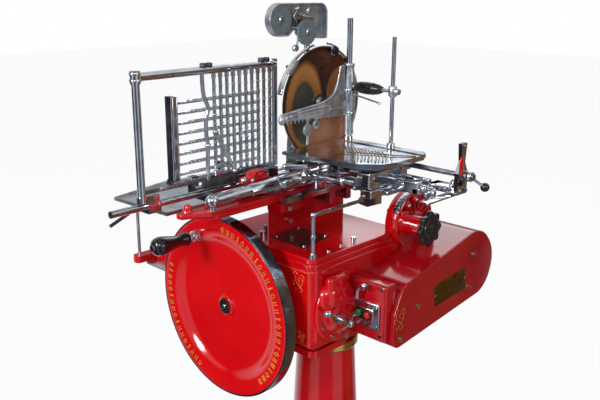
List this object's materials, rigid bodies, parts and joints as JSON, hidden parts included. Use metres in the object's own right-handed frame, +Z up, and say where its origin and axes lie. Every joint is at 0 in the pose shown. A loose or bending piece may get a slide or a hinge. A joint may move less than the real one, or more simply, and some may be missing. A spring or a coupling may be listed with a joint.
{
  "type": "flywheel meat slicer on a pedestal",
  "caption": "Red flywheel meat slicer on a round pedestal, with a sliding carriage, feed table with clamp, round knife, needle frame, tray, knife sharpener and a drive case on its side.",
  "frame": {"origin": "centre of the pedestal foot's underside, on the floor", "axes": "+Z up; +Y is the carriage's travel and the flywheel's axis, pointing away from the flywheel; +X is the knife's axis, pointing to the feed table"},
  "size_m": [1.1324, 0.9853, 1.549],
  "materials": {
    "red_paint": "glossy enamel",
    "deep_red_paint": "glossy enamel",
    "black_paint": "glossy enamel",
    "polished_steel": "polished",
    "blade_steel": "ground and polished",
    "machined_steel": "turned",
    "chrome": "mirror",
    "aluminium": "polished",
    "cast_iron": "cast",
    "brass": "polished",
    "black_rubber": "matt",
    "black_grip": "gloss",
    "black_knob": "gloss",
    "abrasive": "bonded abrasive",
    "green_button": "gloss",
    "red_button": "gloss",
    "chain_steel": "oiled"
  },
  "bodies": {
    "stand": {"pedestal_column": "deep_red_paint", "pedestal_head": "deep_red_paint", "column_collar": "brass", "rubber_pads": "black_rubber", "base_casting": "red_paint", "bearing_bushes": "brass", "inspection_cover": "black_paint", "rail_beam": "red_paint", "guide_rod": "chrome", "slide_rails": "polished_steel", "knife_stand": "chrome", "knife_guard": "chrome", "drive_chains": "chain_steel", "drive_case": "red_paint", "case_cover": "red_paint", "drive_motor": "black_paint", "switch_plate": "chrome", "bearing_dome": "red_paint", "gauge_housing": "red_paint", "carriage_track": "polished_steel", "slice_trays": "aluminium", "tray_arm": "red_paint", "housing_screws": "chrome"},
    "flywheel": {"flywheel": "red_paint", "flywheel_rim": "polished_steel", "grip_pin": "chrome", "main_shaft": "machined_steel", "main_bevel_gear": "machined_steel"},
    "grip": {"crank_grip": "black_grip"},
    "cross": {"cross_bevel_gear": "machined_steel", "cross_shaft": "machined_steel", "eccentric": "machined_steel", "cross_sprockets": "machined_steel"},
    "eccentric_strap": {"eccentric_rod": "cast_iron"},
    "knife": {"knife_sprocket": "machined_steel", "knife_shaft": "machined_steel", "knife_blade": "blade_steel"},
    "motor_rotor": {"motor_sprocket": "machined_steel"},
    "carriage": {"carriage_frame": "polished_steel", "needle_frame": "chrome", "needle_bars": "chrome", "feed_end_plate": "chrome"},
    "table": {"meat_table": "aluminium", "clamp_posts": "chrome"},
    "screw": {"feed_screw": "machined_steel", "feed_crank": "chrome"},
    "lever": {"table_lever": "chrome"},
    "clamp": {"clamp_sleeve": "chrome", "clamp_bar": "polished_steel"},
    "clamp_grip": {"clamp_handle": "black_grip"},
    "fork": {"stacker_fork": "chrome"},
    "sharpener": {"sharpener_head": "chrome"},
    "stone_one": {"grinding_stone": "abrasive"},
    "stone_two": {"honing_stone": "abrasive"},
    "knob": {"thickness_knob": "black_knob"},
    "stop": {"stop_rod": "chrome"},
    "wing": {"wing_handle": "chrome"},
    "clutch": {"clutch_lever": "chrome"},
    "start": {"start_button": "green_button"},
    "halt": {"stop_button": "red_button"}
  },
  "joints": [
    {"name": "flywheel_spin", "type": "hinge", "parent": "stand", "child": "flywheel", "pos_m": [-0.173, -0.1, 0.76], "axis": [0, 1, 0], "continuous": true},
    {"name": "grip_spin", "type": "hinge", "parent": "flywheel", "child": "grip", "pos_m": [-0.267, -0.3, 0.94], "axis": [0, 1, 0], "continuous": true},
    {"name": "cross_spin", "type": "hinge", "parent": "stand", "child": "cross", "pos_m": [-0.1, 0.065, 0.76], "axis": [1, 0, 0], "continuous": true},
    {"name": "strap_pivot", "type": "hinge", "parent": "cross", "child": "eccentric_strap", "pos_m": [-0.053, 0.081, 0.76], "axis": [1, 0, 0], "continuous": true},
    {"name": "knife_spin", "type": "hinge", "parent": "stand", "child": "knife", "pos_m": [-0.12, 0.065, 1.288], "axis": [1, 0, 0], "continuous": true},
    {"name": "rotor_spin", "type": "hinge", "parent": "stand", "child": "motor_rotor", "pos_m": [0.19, 0.372, 0.836], "axis": [1, 0, 0], "continuous": true},
    {"name": "carriage_slide", "type": "slide", "parent": "stand", "child": "carriage", "axis": [0, 1, 0], "range_m": [-0.11, 0.085]},
    {"name": "table_feed", "type": "slide", "parent": "carriage", "child": "table", "axis": [1, 0, 0], "range_m": [0, 0.06]},
    {"name": "screw_turn", "type": "hinge", "parent": "carriage", "child": "screw", "pos_m": [0.3, 0.127, 1.15], "axis": [1, 0, 0], "range_deg": [-4330, 1]},
    {"name": "table_lever_turn", "type": "hinge", "parent": "carriage", "child": "lever", "pos_m": [-0.046, -0.04, 1.13], "axis": [0, 0, 1], "range_deg": [-12, 12]},
    {"name": "clamp_slide", "type": "slide", "parent": "table", "child": "clamp", "axis": [0, 0, 1], "range_m": [0, 0.06]},
    {"name": "clamp_grip_turn", "type": "hinge", "parent": "clamp", "child": "clamp_grip", "pos_m": [0.02, 0.14, 1.329], "axis": [1, 0, 0], "continuous": true},
    {"name": "fork_tilt", "type": "hinge", "parent": "stand", "child": "fork", "pos_m": [-0.262, -0.2, 1.1], "axis": [0, 1, 0], "range_deg": [-80, 0]},
    {"name": "sharpener_slide", "type": "slide", "parent": "stand", "child": "sharpener", "axis": [0, 0, 1], "range_m": [-0.01, 0.03]},
    {"name": "grinding_stone_spin", "type": "hinge", "parent": "sharpener", "child": "stone_one", "pos_m": [-0.1, -0.077, 1.508], "axis": [1, 0, 0], "continuous": true},
    {"name": "honing_stone_spin", "type": "hinge", "parent": "sharpener", "child": "stone_two", "pos_m": [-0.08, -0.003, 1.476], "axis": [1, 0, 0], "continuous": true},
    {"name": "thickness_knob_turn", "type": "hinge", "parent": "stand", "child": "knob", "pos_m": [0.15, 0.196, 0.966], "axis": [1, 0, 0], "range_deg": [0, 330]},
    {"name": "stop_rod_turn", "type": "hinge", "parent": "stand", "child": "stop", "pos_m": [0.078, -0.14, 1], "axis": [0, 0, 1], "range_deg": [-90, 0]},
    {"name": "wing_turn", "type": "hinge", "parent": "stand", "child": "wing", "pos_m": [0.13, -0.112, 0.79], "axis": [1, 0, 0], "range_deg": [-40, 40]},
    {"name": "clutch_turn", "type": "hinge", "parent": "stand", "child": "clutch", "pos_m": [0.168, -0.05, 0.864], "axis": [0, 1, 0], "range_deg": [0, 50]},
    {"name": "start_press", "type": "slide", "parent": "stand", "child": "start", "axis": [0, 1, 0], "range_m": [0, 0.004], "stiffness_N_per_m": 300},
    {"name": "stop_press", "type": "slide", "parent": "stand", "child": "halt", "axis": [0, 1, 0], "range_m": [0, 0.004], "stiffness_N_per_m": 300}
  ],
  "couplings": [
    {"joint": "cross_spin", "follows": "flywheel_spin", "ratio": -1},
    {"joint": "strap_pivot", "follows": "flywheel_spin", "ratio": 1},
    {"joint": "knife_spin", "follows": "flywheel_spin", "ratio": -3},
    {"joint": "rotor_spin", "follows": "flywheel_spin", "ratio": -2},
    {"joint": "screw_turn", "follows": "table_feed", "rad_per_m": -1256.6}
  ]
}
